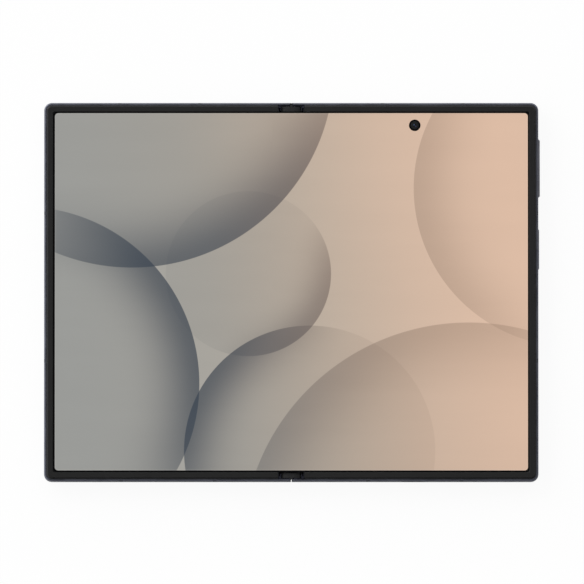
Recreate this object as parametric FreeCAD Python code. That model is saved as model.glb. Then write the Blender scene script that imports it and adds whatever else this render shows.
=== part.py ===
import FreeCAD, Part

import math
import os

from FreeCAD import Vector

# Foldable phone, lying open on its back. Millimetres.
# X runs across the fold, Y along the fold towards the top edge, Z out of the inner display.
# The origin is under the fold line, on the plane that the camera rings rest on.
# Heights named below count from the flat back of the two halves.

# ---- whole body
open_width = 161.4
body_height = 123.9
body_thickness = 4.9
corner_radius = 2.5
smallest_corner = 0.5
half_gap = 0.25
closed_gap = 0.1
running_gap = 0.1
fit_gap = 0.05

# ---- frames
rim_height = 4.35
rim_wall = 1.5
back_edge_round = 0.6
rim_edge_chamfer = 0.4
ear_wall = 0.95
ear_slope = 0.3
mid_plate_low = 3.45
mid_plate_high = 3.9
hinge_wall = 0.85
hinge_slope_low = 2.5
hinge_slope_reach = 1.55
hinge_slope_rise = 1.0
hinge_web = 0.45
hinge_strip_width = 0.9

# ---- antenna breaks, from the edges beside them or from the fold line
band_width = 1.15
band_depth = 1.1
upper_band_from_top = 36.15
lower_band_from_bottom = 39.45
top_inner_band_x = 29.9
top_outer_band_from_side = 24.7
bottom_inner_band_x = 25.0
bottom_outer_band_from_side = 25.2

# ---- covers on the back
cover_thickness = 0.5
cover_inset = 1.0
cover_panel_thickness = 0.6
cover_panel_inset = 2.2
cover_camera_from_top = 6.45
cover_camera_radius = 1.7

# ---- inner display
bezel_inset = 0.8
bezel_width = 2.1
bezel_end = 4.3
bezel_slope = 0.48
bezel_inner_edge = 0.12
bezel_end_round = 0.4
panel_inset = 1.6
panel_thickness = 0.55
panel_plate = 0.15
fold_reach = 6.2
fold_from_end = 3.0
fold_slot_width = 0.25
fold_slot_pitch = 1.1
fold_slot_columns = 7
fold_slot_bridge = 1.7
fold_slot_rows = 8
inner_camera_from_top = 7.35
inner_camera_hole = 1.9
inner_camera_radius = 1.7
inner_camera_well = 1.35
inner_camera_well_depth = 0.25
inner_camera_base = 5.2
inner_camera_base_height = 1.8

# ---- hinge axes and cover
axis_height = 3.2
spine_low = 0.6
spine_wall = 0.4
spine_from_end = 1.15
end_cap_thickness = 1.65
end_cap_reach = 2.8
end_cap_height = 4.1
end_cap_shoulder = 0.35
end_cap_flat = 1.0
seam_rib_low = 1.2
seam_rib_high = 4.1
top_rib_from_end = 0.1
bottom_rib_from_end = 0.7

# ---- levers beside the end caps, on the frames
lever_near_x = 3.25
lever_far_x = 3.6
lever_low = 3.4
lever_high = 3.75
lever_length = 1.6
post_near_x = 3.5
post_far_x = 4.2
post_length = 0.7
post_high = 4.2

# ---- hinge modules, one near each end of the fold
module_from_end = 25.95
module_reach = 10.0
bulkhead = 1.0
gear_zone = 1.6
base_height = 1.45
shaft_wall_height = 2.45
pin_eye = 0.5
pin_radius = 0.35
pin_clearance = 0.025
barrel_radius = 0.6
neck_radius = 0.53
arm_reach = 10.4
arm_low = 1.6
arm_high = 2.35
arm_width = 4.0
arm_screw_x = 8.2
pad_near_x = 6.5
heel_from_axis = 1.35
throat_back = 0.2
throat_drop = 0.56
crown_from_axis = 0.55
crown_drop = 0.2
waist_from_axis = 1.0
waist_rise = 0.22
toe_from_axis = 1.55
toe_rise = 0.08
screw_head_radius = 0.9
screw_head_height = 0.4
screw_radius = 0.5
screw_end = 3.2
screw_socket = 0.4

# ---- synchronising gears
gear_teeth = 10
fold_angle = 90.0
gear_module = 0.15
gear_addendum = 0.85
gear_dedendum = 1.2
gear_backlash = 0.024
gear_pressure = 20.0
gear_width = 2.9
gear_crop_height = 3.84
idler_x = 0.75
shaft_radius = 0.22

# ---- friction clips on the hinge pins
clip_length = 5.2
clip_reach = 0.5
clip_rise = 0.45
clip_mouth = 0.3

# ---- wing plates under the fold
wing_pivot_x = 5.8
wing_tip_x = 2.6
wing_thickness = 0.25
wing_below_display = 0.05
wing_from_end = 3.55
wing_window_x = 4.3

# ---- keys on the right side
key_middle_height = 2.3
key_height = 1.9
key_gap = 0.08
key_cap_depth = 0.95
key_flange = 0.3
key_flange_lip = 0.45
key_stem_inset = 0.8
key_stem_thinner = 0.3
key_end_chamfer = 0.5
key_chamfer_below = 0.2
volume_key_from_top = 21.35
volume_key_length = 19.1
volume_key_proud = 0.5
volume_key_play = 0.28
power_key_from_top = 47.9
power_key_length = 13.5
power_key_proud = 0.26
power_key_play = 0.08
key_travel = 0.25
switch_size = 2.4
switch_depth = 0.5
switch_button = 1.0
switch_button_height = 0.2
switch_spacing = 11.0

# ---- rear cameras
island_from_side = 14.5
island_from_top = 25.45
island_width = 17.0
island_length = 39.0
island_rise = 1.9
island_edge = 0.5
island_flange = 1.2
island_flange_thickness = 0.4
lens_spacing = 17.4
lens_shift = 2.4
ring_radius = 6.3
ring_bore = 5.0
ring_rise = 0.3
ring_chamfer = 0.2
lens_recess = 0.15
lens_glass = 0.8
camera_barrel = 4.6
camera_mouth = 3.8
camera_throat = 2.2
camera_mouth_depth = 1.6
camera_base = 10.6
camera_base_height = 1.3
flash_radius = 1.5
flash_from_end = 4.6

# ---- inside the halves
inside_near_x = 13.0
inside_from_side = 5.7
battery_height = 2.0
battery_round = 0.5
left_battery_from_bottom = 7.95
right_battery_from_bottom = 18.95
board_gap = 4.0
board_thickness = 0.6
left_board_from_top = 12.95
left_board_length = 33.0
main_board_from_top = 3.45
board_to_camera_gap = 2.9
main_board_length = 48.5
camera_bay_width = 9.0
camera_bay_length = 9.0
shield_height = 1.2
shield_margin = 3.0
shield_gap = 2.5
motor_radius = 1.2
motor_length = 14.0
motor_x = 26.0
motor_from_bottom = 9.95
magnet_length = 9.0
magnet_width = 2.4
magnet_height = 1.6
magnet_from_side = 4.5
magnet_from_bottom = (49.95, 15.95)
pocket_gap = 0.5

# ---- openings in the edges of the right half
usb_width = 8.34
usb_height = 2.56
usb_shell = 0.27
usb_depth = 6.6
usb_recess = 0.1
usb_back_wall = 0.5
usb_middle_height = 2.15
tongue_width = 6.69
tongue_thickness = 0.7
tongue_length = 4.45
tray_from_side = 14.2
tray_width = 14.2
tray_length = 14.0
tray_thickness = 0.8
tray_low = 1.5
tray_face_height = 1.6
tray_card_width = 12.4
tray_card_length = 8.9
tray_pin_radius = 0.4
tray_pin_margin = 1.6
tray_stop = 1.0
cage_wall = 0.2
cage_gap = 0.2
speaker_slot_width = 2.4
speaker_slot_height = 0.9
speaker_slot_pitch = 3.4
speaker_slot_count = 3
microphone_hole = 0.3
bottom_microphone_from_side = 23.7
top_microphone_x = 22.0
earpiece_slot_width = 8.0
earpiece_slot_height = 0.8
speaker_x = 16.0
speaker_width = 15.0
speaker_length = 9.0
speaker_height = 2.1
speaker_mouth = 1.2
speaker_mouth_depth = 2.0
speaker_lip = 1.0

# ---- worked out from the sizes above
half_width = open_width / 2
half_height = body_height / 2
axis_x = body_thickness - axis_height + closed_gap / 2
edge_x = half_gap / 2
spine_radius = axis_height - spine_low
channel_radius = spine_radius + running_gap
channel_x = axis_x + channel_radius
spine_inner = spine_radius - spine_wall
side_bands = (half_height - upper_band_from_top, -half_height + lower_band_from_bottom)
top_bands = (top_inner_band_x, half_width - top_outer_band_from_side)
bottom_bands = (bottom_inner_band_x, half_width - bottom_outer_band_from_side)
camera_line_x = half_width / 2
cover_camera_y = half_height - cover_camera_from_top
inner_camera_y = half_height - inner_camera_from_top
usb_x = camera_line_x
tray_x = half_width - tray_from_side
spine_end = half_height - spine_from_end
end_cap_start = spine_end - end_cap_thickness
fold_end = half_height - fold_from_end
wing_end = half_height - wing_from_end
module_places = (half_height - module_from_end, -half_height + module_from_end)
volume_key_y = half_height - volume_key_from_top
power_key_y = half_height - power_key_from_top
island_x = half_width - island_from_side
island_y = half_height - island_from_top
inside_far_x = half_width - inside_from_side
left_board_top = half_height - left_board_from_top
main_board_top = half_height - main_board_from_top
magnet_x = half_width - magnet_from_side
magnet_places = [distance - half_height for distance in magnet_from_bottom]
motor_y = motor_from_bottom - half_height
ear_start = half_height - ear_wall
lever_start = ear_start - lever_length
post_start = ear_start - post_length
wall_y = half_height - rim_wall
panel_low = mid_plate_high + panel_plate
panel_high = panel_low + panel_thickness
wall_x = half_width - rim_wall
cavity_x = channel_x + hinge_wall
gear_pitch_radius = gear_teeth * gear_module / 2
gear_outer = gear_pitch_radius + gear_addendum * gear_module
gear_root = gear_pitch_radius - gear_dedendum * gear_module
idler_height = axis_height - math.sqrt((2 * gear_pitch_radius) ** 2 - (axis_x - idler_x) ** 2)
arm_outer = module_reach - bulkhead - running_gap
arm_inner = arm_outer - arm_width
wing_high = mid_plate_high - wing_below_display
wing_low = wing_high - wing_thickness
battery_low = mid_plate_low - battery_height
lift = island_rise + ring_rise
tooth_pitch = 360.0 / gear_teeth
far = 2 * open_width
spare = 1.0


# ---- small helpers
def block(x0, x1, y0, y1, z0, z1):
    return Part.makeBox(x1 - x0, y1 - y0, z1 - z0, Vector(x0, y0, z0))


def upright(radius, x, y, z0, z1):
    return Part.makeCylinder(radius, z1 - z0, Vector(x, y, z0), Vector(0, 0, 1))


def hexagon(radius, x, y, z0, z1):
    corners = [Vector(x + radius * math.cos(turn), y + radius * math.sin(turn), z0)
               for turn in [n * math.pi / 3 for n in range(6)]]
    return Part.Face(Part.makePolygon(corners + corners[:1])).extrude(Vector(0, 0, z1 - z0))


def rod(radius, x, z, y0, y1):
    return Part.makeCylinder(radius, y1 - y0, Vector(x, y0, z), Vector(0, 1, 0))


def bar(points, y0, y1):
    corners = [Vector(x, y0, z) for x, z in points]
    face = Part.Face(Part.makePolygon(corners + corners[:1]))
    return face.extrude(Vector(0, y1 - y0, 0))


def union(shapes):
    return shapes[0].multiFuse(shapes[1:]).removeSplitter()


def together(shapes):
    return Part.makeCompound(shapes)


def to_side(shape, side):
    return shape if side > 0 else shape.mirror(Vector(0, 0, 0), Vector(1, 0, 0))


def edges_where(shape, test):
    return [edge for edge in shape.Edges if all(test(vertex.Point) for vertex in edge.Vertexes)]


def near(value, target):
    return abs(value - target) < 1e-4


def half_plate(inner_x, inset, z0, z1):
    outer_x = half_width - inset
    outer_y = half_height - inset
    radius = max(corner_radius - inset, smallest_corner)
    plate = block(inner_x, outer_x, -outer_y, outer_y, z0, z1)
    corners = [edge for edge in edges_where(plate, lambda p: near(p.x, outer_x)) if near(edge.Length, z1 - z0)]
    return plate.makeFillet(radius, corners)


def on_outline(edge, inset):
    box = edge.BoundBox
    return (near(box.XMax, half_width - inset) or near(box.YMax, half_height - inset)
            or near(box.YMin, -half_height + inset))


def pill(x, y, width, length, z0, z1):
    straight = length / 2 - width / 2
    middle = block(x - width / 2, x + width / 2, y - straight, y + straight, z0, z1)
    ends = [upright(width / 2, x, y + way * straight, z0, z1) for way in (1, -1)]
    return union([middle] + ends)


def slot_through_wall(x, width, height, middle, y0, y1):
    radius = height / 2
    straight = width / 2 - radius
    middle_block = block(x - straight, x + straight, y0, y1, middle - radius, middle + radius)
    ends = [rod(radius, x + way * straight, middle, y0, y1) for way in (1, -1)]
    return union([middle_block] + ends)


def write(name, shape):
    moved = shape.copy()
    moved.translate(Vector(0, 0, lift))
    moved.exportStep(os.path.join("parts", name + ".step"))


# ---- frames
def rounded_shell():
    shell = half_plate(edge_x, 0, 0, rim_height)
    back = [e for e in edges_where(shell, lambda p: near(p.z, 0)) if not near(e.BoundBox.XMax, edge_x)]
    shell = shell.makeFillet(back_edge_round, back)
    rim = [e for e in edges_where(shell, lambda p: near(p.z, rim_height)) if not near(e.BoundBox.XMax, edge_x)]
    return shell.makeChamfer(rim_edge_chamfer, rim)


def hinge_channel():
    walls = block(-spare, channel_x, -ear_start, ear_start, cover_thickness, far)
    slope_top_x = channel_x + hinge_slope_reach
    slope_top = hinge_slope_low + hinge_slope_rise
    slope = bar([(channel_x - spare, hinge_slope_low), (channel_x, hinge_slope_low), (slope_top_x, slope_top),
                 (slope_top_x, far), (channel_x - spare, far)], -ear_start, ear_start)
    return union([walls, slope])


def ear_slopes():
    # The inner top edges of the two ears slope down into the opening between the bezels.
    top = rim_height + fit_gap
    slopes = []
    for way in (1, -1):
        points = [(way * ear_start, rim_height - ear_slope), (way * (ear_start + ear_slope + fit_gap), top),
                  (way * (ear_start - spare), top), (way * (ear_start - spare), rim_height - ear_slope)]
        corners = [Vector(-spare, y, z) for y, z in points]
        face = Part.Face(Part.makePolygon(corners + corners[:1]))
        slopes.append(face.extrude(Vector(bezel_end + spare, 0, 0)))
    return slopes


def ear_relief():
    corner = block(-spare, axis_x, -far, far, axis_height, far)
    return corner.cut(rod(axis_x - edge_x, axis_x, axis_height, -far, far))


def inner_cavity():
    cavity = half_plate(cavity_x, rim_wall, cover_thickness, mid_plate_low)
    web_low = hinge_slope_low - hinge_web / 2
    web_x = cavity_x + (mid_plate_low - web_low) * hinge_slope_reach / hinge_slope_rise
    web = bar([(cavity_x - spare, web_low), (cavity_x, web_low), (web_x, mid_plate_low + fit_gap),
               (cavity_x - spare, mid_plate_low + fit_gap)], -far, far)
    return cavity.cut(web)


def arm_places(side):
    # The arms of the two halves lie at opposite ends of each module.
    spans = []
    for place in module_places:
        ends = sorted((place + side * arm_inner, place + side * arm_outer))
        spans.append(tuple(ends))
    return spans


def arm_notches(side):
    return [block(channel_x - spare, cavity_x + hinge_web, low - running_gap, high + running_gap,
                  arm_low - running_gap, arm_high + running_gap) for low, high in arm_places(side)]


def arm_pads(side):
    pads = []
    for low, high in arm_places(side):
        pad = block(pad_near_x, arm_reach, low, high, arm_high, mid_plate_low + fit_gap)
        pads.append(pad.cut(upright(screw_radius, arm_screw_x, (low + high) / 2, 0, screw_end)))
    return pads


def hinge_levers():
    levers = []
    for way in (1, -1):
        lever_y = sorted((way * lever_start, way * ear_start))
        post_y = sorted((way * post_start, way * ear_start))
        levers.append(block(lever_near_x, lever_far_x, lever_y[0], lever_y[1], lever_low, lever_high))
        levers.append(block(post_near_x, post_far_x, post_y[0], post_y[1], lever_low, post_high))
    return levers


def band_cutters():
    cutters = []
    reach = band_width / 2
    for y in side_bands:
        cutters.append(block(half_width - band_depth, far, y - reach, y + reach, -spare, far))
    for x in top_bands:
        cutters.append(block(x - reach, x + reach, half_height - band_depth, far, -spare, far))
    for x in bottom_bands:
        cutters.append(block(x - reach, x + reach, -far, -half_height + band_depth, -spare, far))
    return cutters


def rim_ring():
    ring = rounded_shell().cut(block(-spare, half_width - band_depth, -half_height + band_depth,
                                     half_height - band_depth, -spare, far))
    return ring.cut(half_plate(-spare, cover_inset, -spare, cover_thickness))


def frame_blank(side):
    frame = rounded_shell()
    frame = frame.cut(half_plate(-spare, rim_wall, mid_plate_high, far))
    frame = frame.cut(half_plate(edge_x + hinge_strip_width, cover_inset, -spare, cover_thickness))
    frame = frame.cut([hinge_channel(), ear_relief(), inner_cavity()] + ear_slopes())
    frame = frame.cut(arm_notches(side))
    frame = frame.multiFuse(arm_pads(side) + hinge_levers())
    return frame.cut(band_cutters())


def key_opening(y, length, grow):
    reach = length / 2 + grow
    height = key_height / 2 + grow
    return block(wall_x - spare, far, y - reach, y + reach, key_middle_height - height, key_middle_height + height)


def speaker_slots(y0, y1):
    first = speaker_x - speaker_slot_pitch * (speaker_slot_count - 1) / 2
    return [slot_through_wall(first + n * speaker_slot_pitch, speaker_slot_width, speaker_slot_height,
                              key_middle_height, y0, y1) for n in range(speaker_slot_count)]


def microphone_holes():
    bottom_x = half_width - bottom_microphone_from_side
    return [rod(microphone_hole, bottom_x, key_middle_height, -far, -wall_y + spare),
            rod(microphone_hole, top_microphone_x, key_middle_height, wall_y - spare, far)]


def earpiece_slot():
    return slot_through_wall(speaker_x, earpiece_slot_width, earpiece_slot_height, key_middle_height,
                             wall_y - spare, far)


def usb_outline(grow, y0, y1):
    return slot_through_wall(usb_x, usb_width + 2 * grow, usb_height + 2 * grow, usb_middle_height, y0, y1)


def left_frame():
    frame = frame_blank(-1)
    return to_side(frame.cut(earpiece_slot()).removeSplitter(), -1)


def right_frame():
    frame = frame_blank(1)
    cuts = speaker_slots(-far, -wall_y + spare) + microphone_holes()
    cuts.append(key_opening(volume_key_y, volume_key_length, key_gap))
    cuts.append(key_opening(power_key_y, power_key_length, key_gap))
    cuts.append(usb_outline(usb_shell + fit_gap, -far, -half_height + usb_depth + pocket_gap))
    cuts.append(block(tray_x - tray_width / 2 - fit_gap, tray_x + tray_width / 2 + fit_gap, -far,
                      -wall_y + spare, tray_low - fit_gap, tray_low + tray_face_height + fit_gap))
    cuts.append(upright(inner_camera_radius + fit_gap, camera_line_x, inner_camera_y, -spare, far))
    return frame.cut(cuts).removeSplitter()


def antenna_bands(side):
    ring = rim_ring()
    bands = [ring.common(cutter) for cutter in band_cutters()]
    return to_side(together(bands), side)


# ---- inner display and its surround
def bezel_end_corners():
    # What rounding takes off the two outer corners beside the fold.
    middle_x = bezel_end + bezel_end_round
    middle_y = half_height - bezel_inset - bezel_end_round
    corners = []
    for way in (1, -1):
        y0, y1 = sorted((way * middle_y, way * half_height))
        square = block(bezel_end - fit_gap, middle_x, y0, y1, 0, far)
        corners.append(square.cut(upright(bezel_end_round, middle_x, way * middle_y, 0, far)))
    return corners


def bezel(side):
    ring = half_plate(bezel_end, bezel_inset, rim_height, body_thickness)
    inner = bezel_inset + bezel_width
    ring = ring.cut([half_plate(-spare, inner, 0, far), half_plate(-spare, rim_wall, 0, panel_high)])
    top = [e for e in edges_where(ring, lambda p: near(p.z, body_thickness))
           if not near(e.BoundBox.XMax, bezel_end)]
    outer = [e for e in top if on_outline(e, bezel_inset)]
    ring = ring.makeChamfer(bezel_slope, outer)
    top = [e for e in edges_where(ring, lambda p: near(p.z, body_thickness))
           if not near(e.BoundBox.XMax, bezel_end) and not on_outline(e, bezel_inset + bezel_slope)]
    ring = ring.makeChamfer(bezel_inner_edge, top)
    return to_side(ring.cut(bezel_end_corners()), side)


def display_layer(side, z0, z1):
    layer = half_plate(fold_reach, panel_inset, z0, z1)
    if side > 0:
        layer = layer.cut(upright(inner_camera_hole, camera_line_x, inner_camera_y, 0, far))
    return to_side(layer, side)


def fold_panel():
    return block(-fold_reach + fit_gap, fold_reach - fit_gap, -fold_end, fold_end, panel_low, panel_high)


def fold_plate():
    # The metal backing is a lattice where it bends: rows of slots, every other row set half a slot along.
    plate = block(-fold_reach + fit_gap, fold_reach - fit_gap, -fold_end, fold_end, mid_plate_high, panel_low)
    step = 2 * fold_end / fold_slot_rows
    slot_length = step - fold_slot_bridge
    slots = []
    for column in range(fold_slot_columns):
        x = (column - (fold_slot_columns - 1) / 2) * fold_slot_pitch
        offset = column % 2
        for row in range(fold_slot_rows - offset):
            y = -fold_end + step / 2 * (1 + offset) + row * step
            slots.append(block(x - fold_slot_width / 2, x + fold_slot_width / 2, y - slot_length / 2,
                               y + slot_length / 2, 0, far))
    return plate.cut(slots)


def inner_camera():
    top = panel_high - running_gap
    reach = inner_camera_base / 2
    low = mid_plate_low - inner_camera_base_height
    barrel = upright(inner_camera_radius, camera_line_x, inner_camera_y, low, top)
    well = upright(inner_camera_well, camera_line_x, inner_camera_y, top - inner_camera_well_depth, far)
    base = block(camera_line_x - reach, camera_line_x + reach, inner_camera_y - reach,
                 inner_camera_y + reach, low, mid_plate_low)
    return union([barrel.cut(well), base])


# ---- covers and cover display
def island_pill(grow, z0, z1):
    return pill(island_x, island_y, island_width + 2 * grow, island_length + 2 * grow, z0, z1)


def cover(side):
    glass = half_plate(edge_x + hinge_strip_width + fit_gap, cover_inset + fit_gap, 0, cover_thickness)
    if side > 0:
        glass = glass.cut(island_pill(fit_gap, -spare, far))
    return to_side(glass, side)


def cover_display_panel():
    panel = half_plate(cavity_x + running_gap, cover_panel_inset, cover_thickness,
                       cover_thickness + cover_panel_thickness)
    window = upright(cover_camera_radius + running_gap, camera_line_x, cover_camera_y, -spare, far)
    return to_side(panel.cut(window), -1)


def cover_camera():
    barrel = upright(cover_camera_radius, camera_line_x, cover_camera_y, cover_thickness, mid_plate_low)
    return to_side(barrel, -1)


# ---- hinge: the cover that shows as the spine when the phone is shut
def spine_profile(radius, top, y0, y1):
    rounds = [rod(radius, way * axis_x, axis_height, y0, y1) for way in (1, -1)]
    floor = block(-axis_x, axis_x, y0, y1, axis_height - radius, top)
    return union(rounds + [floor]).cut(block(-far, far, y0 - spare, y1 + spare, top, far))


def hinge_cover():
    outer = spine_profile(spine_radius, axis_height, -spine_end, spine_end)
    cover_shape = outer.cut(spine_profile(spine_inner, axis_height + spare, -far, far))
    notches = []
    for side in (1, -1):
        for low, high in arm_places(side):
            notch = block(axis_x + barrel_radius, far, low - running_gap, high + running_gap, base_height, far)
            notches.append(to_side(notch, side))
    return cover_shape.cut(notches)


def trough(top, y0, y1):
    # Fills the bottom of the hinge cover up to this height, with flat flanks inside its round ones.
    floor = spine_low + spine_wall
    flank = spine_inner * math.sqrt(0.5)
    corner = spine_inner - flank
    points = [(axis_x, floor), (axis_x + flank, floor + corner), (axis_x + flank, axis_height),
              (-axis_x - flank, axis_height), (-axis_x - flank, floor + corner), (-axis_x, floor)]
    filling = bar(points, y0, y1)
    return filling if near(top, axis_height) else filling.cut(block(-far, far, y0, y1, top, far))


def pin_wall(y0, y1):
    wall = trough(axis_height, y0, y1).cut([block(axis_x + pin_eye, far, y0, y1, base_height, far),
                                            block(-far, -axis_x - pin_eye, y0, y1, base_height, far)])
    return wall.fuse(block(-axis_x - pin_eye, axis_x + pin_eye, y0, y1, axis_height, axis_height + pin_eye))


def hinge_base(place):
    low, high = place - module_reach, place + module_reach
    pieces = [trough(base_height, low, high), pin_wall(low, low + bulkhead), pin_wall(high - bulkhead, high)]
    shaft_reach = gear_zone + bulkhead
    wall_reach = idler_x + pin_eye
    pieces.append(block(-wall_reach, wall_reach, place - shaft_reach, place + shaft_reach, base_height,
                        shaft_wall_height))
    base = union(pieces)
    window = idler_x + gear_outer + running_gap
    cuts = [rod(pin_radius, way * axis_x, axis_height, low, high) for way in (1, -1)]
    cuts.append(block(-window, window, place - gear_zone, place + gear_zone, 0, far))
    base = base.cut(cuts)
    # The idlers' shafts are one with the two walls that carry them.
    shafts = [rod(shaft_radius, way * idler_x, idler_height, place - gear_zone, place + gear_zone)
              for way in (1, -1)]
    return union([base] + shafts)


def hinge_bases():
    return together([hinge_base(place) for place in module_places])


def hinge_pins():
    pins = []
    for place in module_places:
        for way in (1, -1):
            pins.append(rod(pin_radius, way * axis_x, axis_height, place - module_reach, place + module_reach))
    return together(pins)


def friction_clips():
    clips = []
    start = gear_zone + bulkhead + running_gap
    for place in module_places:
        for side in (1, -1):
            # Each half's clip sits at the end of the module that its own arm leaves free.
            middle = place - side * (start + clip_length / 2)
            y0, y1 = middle - clip_length / 2, middle + clip_length / 2
            clip = block(axis_x - clip_reach, axis_x + clip_reach, y0, y1, base_height, axis_height + clip_rise)
            clip = clip.cut(rod(pin_radius, axis_x, axis_height, y0, y1))
            mouth = block(axis_x - clip_mouth / 2, axis_x + clip_mouth / 2, y0, y1, axis_height, far)
            clips.append(to_side(clip.cut(mouth), side))
    return together(clips)


def seam_rib(y0, y1):
    # Fills the seam between the two ears. Above the axes it widens with the round edges of the ears.
    reach = edge_x - fit_gap
    stem = block(-reach, reach, y0, y1, seam_rib_low, axis_height)
    head = block(-axis_x, axis_x, y0, y1, axis_height, seam_rib_high)
    return stem.fuse(head.cut([rod(axis_x - reach, way * axis_x, axis_height, -far, far) for way in (1, -1)]))


def hinge_end_caps():
    # Each cap closes one end of the hinge cover. Its head shows between the bezels, and its rib fills the seam.
    shoulder = end_cap_height - end_cap_shoulder
    middle_x = (end_cap_reach + end_cap_flat) / 2
    middle_height = end_cap_height - end_cap_shoulder / 3
    half_outline = [(end_cap_reach, axis_height), (end_cap_reach, shoulder), (middle_x, middle_height),
                    (end_cap_flat, end_cap_height)]
    outline = half_outline + [(-x, z) for x, z in reversed(half_outline)]
    caps = []
    for way, rib_from_end in ((1, top_rib_from_end), (-1, bottom_rib_from_end)):
        y0, y1 = sorted((way * end_cap_start, way * spine_end))
        rib_y = sorted((way * (spine_end - spine_wall), way * (half_height - rib_from_end)))
        caps.append(union([trough(axis_height, y0, y1), bar(outline, y0, y1), seam_rib(rib_y[0], rib_y[1])]))
    return together(caps)


# ---- synchronising gears
def flank_angle(radius):
    base_radius = gear_pitch_radius * math.cos(math.radians(gear_pressure))
    rolled = math.acos(base_radius / max(radius, base_radius))
    return math.tan(rolled) - rolled


def tooth_points(middle_degrees):
    base_radius = gear_pitch_radius * math.cos(math.radians(gear_pressure))
    at_pitch = math.pi / (2 * gear_teeth) - gear_backlash / (2 * gear_pitch_radius)
    at_pitch += flank_angle(gear_pitch_radius)
    radii = [gear_root, base_radius, gear_pitch_radius, gear_outer]
    rising = [(radius, at_pitch - flank_angle(radius)) for radius in radii]
    middle = math.radians(middle_degrees)
    points = [(r * math.cos(middle - turn), r * math.sin(middle - turn)) for r, turn in rising]
    points += [(r * math.cos(middle + turn), r * math.sin(middle + turn)) for r, turn in reversed(rising)]
    return points


def next_phase(phase, direction):
    # The angle of one tooth of a gear that meshes with a gear of the same size in this direction.
    return direction + 180.0 - (phase - direction) + tooth_pitch / 2


def gear_bar(x, z, angles, y0, y1, closed):
    outline = [] if closed else [(x, z)]
    for angle in angles:
        outline += [(x + px, z + pz) for px, pz in tooth_points(angle)]
    return bar(outline, y0, y1)


mesh_direction = math.degrees(math.atan2(idler_height - axis_height, axis_x - idler_x))
left_sector_phase = mesh_direction
left_idler_phase = next_phase(left_sector_phase, mesh_direction)
right_idler_phase = next_phase(left_idler_phase, 0.0)
right_sector_phase = next_phase(right_idler_phase, -mesh_direction)


def idler_gears(side):
    phase = right_idler_phase if side > 0 else left_idler_phase
    gears = []
    for place in module_places:
        y0, y1 = place - gear_width / 2, place + gear_width / 2
        angles = [phase + n * tooth_pitch for n in range(gear_teeth)]
        gear = gear_bar(side * idler_x, idler_height, angles, y0, y1, True)
        gears.append(gear.cut(rod(shaft_radius + pin_clearance, side * idler_x, idler_height, y0, y1)))
    return together(gears)


def sector_angles(side):
    # Teeth that meet the idler between open and shut, and one margin of a pitch at each end.
    margin = 0.75 * tooth_pitch
    if side > 0:
        low, high, phase = fold_angle - mesh_direction - margin, 180.0 - mesh_direction + margin, right_sector_phase
    else:
        low, high, phase = mesh_direction - margin, mesh_direction + fold_angle + margin, left_sector_phase
    first = math.ceil((low - phase) / tooth_pitch)
    last = math.floor((high - phase) / tooth_pitch)
    return [phase + n * tooth_pitch for n in range(first, last + 1)]


def arm_outline():
    # A flat foot, then a gooseneck that rises round the edge of the hinge cover to the pin.
    return [(arm_reach, arm_low), (axis_x + heel_from_axis, arm_low),
            (axis_x - throat_back, axis_height - throat_drop), (axis_x, axis_height),
            (axis_x + crown_from_axis, axis_height - crown_drop),
            (axis_x + waist_from_axis, arm_high + waist_rise), (axis_x + toe_from_axis, arm_high + toe_rise),
            (channel_x, arm_high), (arm_reach, arm_high)]


def hinge_arm(side, place):
    spans = sorted((place + side * arm_inner, place + side * arm_outer))
    neck_start, neck_end = place - gear_zone, place + gear_zone
    arm = bar(arm_outline(), spans[0], spans[1])
    arm = arm.cut(upright(screw_radius + fit_gap, arm_screw_x, sum(spans) / 2, 0, far))
    barrel = sorted((place + side * gear_zone, place + side * arm_outer))
    pieces = [to_side(arm, side), rod(barrel_radius, side * axis_x, axis_height, barrel[0], barrel[1])]
    neck = sorted((place - side * gear_width / 2, place + side * gear_zone))
    pieces.append(rod(neck_radius, side * axis_x, axis_height, neck[0], neck[1]))
    sector = gear_bar(side * axis_x, axis_height, sector_angles(side), place - gear_width / 2,
                      place + gear_width / 2, False)
    pieces.append(sector.cut(block(-far, far, neck_start, neck_end, gear_crop_height, far)))
    whole = union(pieces)
    return whole.cut(rod(pin_radius + pin_clearance, side * axis_x, axis_height, -far, far)).removeSplitter()


def hinge_arms(side):
    return together([hinge_arm(side, place) for place in module_places])


def hinge_screws(side):
    screws = []
    for low, high in arm_places(side):
        y = (low + high) / 2
        head = upright(screw_head_radius, arm_screw_x, y, arm_low - screw_head_height, arm_low)
        shank = upright(screw_radius - fit_gap, arm_screw_x, y, arm_low, screw_end - fit_gap)
        socket = hexagon(screw_socket, arm_screw_x, y, 0, arm_low - screw_head_height / 2)
        screws.append(to_side(head.fuse(shank).cut(socket), side))
    return together(screws)


# ---- wing plates that tilt down as the display folds
def wing_plate(side):
    middle = (wing_low + wing_high) / 2
    plate = block(wing_tip_x, wing_pivot_x, -wing_end, wing_end, wing_low, wing_high)
    plate = plate.fuse(rod(wing_thickness / 2, wing_pivot_x, middle, -wing_end, wing_end))
    windows = [block(0, wing_window_x, low - 2 * running_gap, high + 2 * running_gap, 0, far)
               for low, high in arm_places(side)]
    return to_side(plate.cut(windows).removeSplitter(), side)


# ---- keys
def key(y, length, proud, play):
    outer = half_width + proud
    reach = length / 2
    low = key_middle_height - key_height / 2
    high = key_middle_height + key_height / 2
    cap_inner = half_width - key_cap_depth
    flange_outer = wall_x - play
    cap = block(cap_inner, outer, y - reach, y + reach, low, high)
    ends = [e for e in edges_where(cap, lambda p: near(p.x, outer)) if near(e.Length, key_height)]
    cap = cap.makeChamfer(min(key_end_chamfer, proud + key_chamfer_below), ends)
    stem = block(flange_outer - key_flange, cap_inner, y - reach + key_stem_inset, y + reach - key_stem_inset,
                 low + key_stem_thinner, high - key_stem_thinner)
    flange = block(flange_outer - key_flange, flange_outer, y - reach - key_flange_lip,
                   y + reach + key_flange_lip, low, high)
    return union([cap, stem, flange])


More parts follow.
